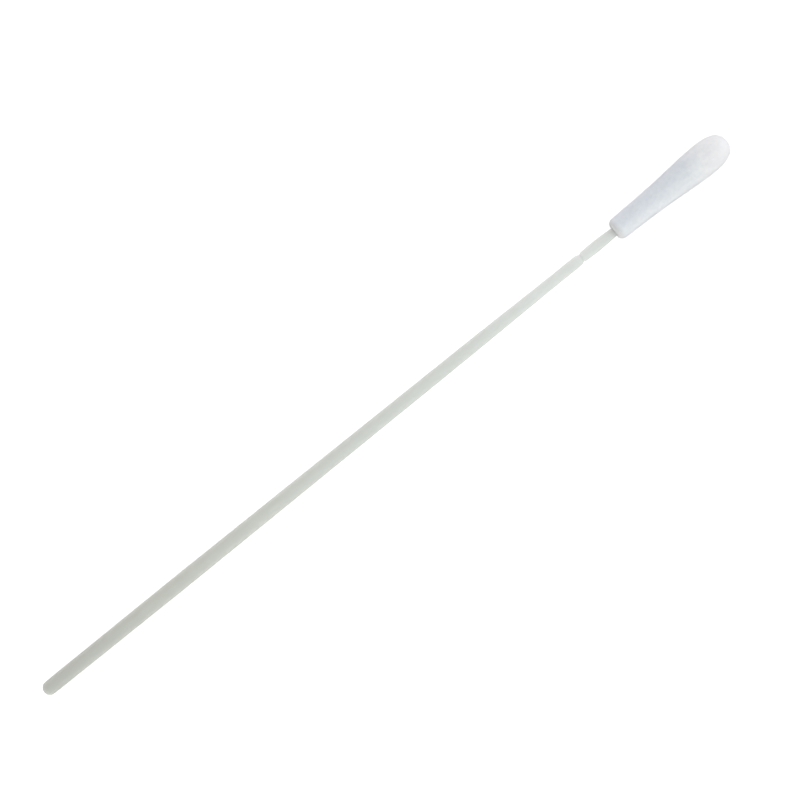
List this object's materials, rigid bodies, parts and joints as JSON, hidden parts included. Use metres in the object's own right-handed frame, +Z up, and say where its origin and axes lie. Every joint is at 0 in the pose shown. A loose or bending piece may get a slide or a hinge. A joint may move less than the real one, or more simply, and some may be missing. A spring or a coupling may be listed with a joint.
{
  "type": "flocked specimen swab",
  "caption": "Flocked specimen swab: slender tapered plastic stick with a domed handle end, a snap-off groove and a club-shaped tip of short white nylon fibres.",
  "frame": {"origin": "on the surface the swab lies on, under the middle of its length", "axes": "+X along the swab from its handle towards its tip, +Z up; the swab lies on its handle's end and its tip's widest ring, so its own axis rises 0.61 degrees towards the tip"},
  "size_m": [0.152, 0.006, 0.006],
  "materials": {
    "stick": "satin",
    "flock": "matte"
  },
  "bodies": {
    "root": {"stick": "stick", "flocked_tip": "flock"}
  },
  "joints": []
}
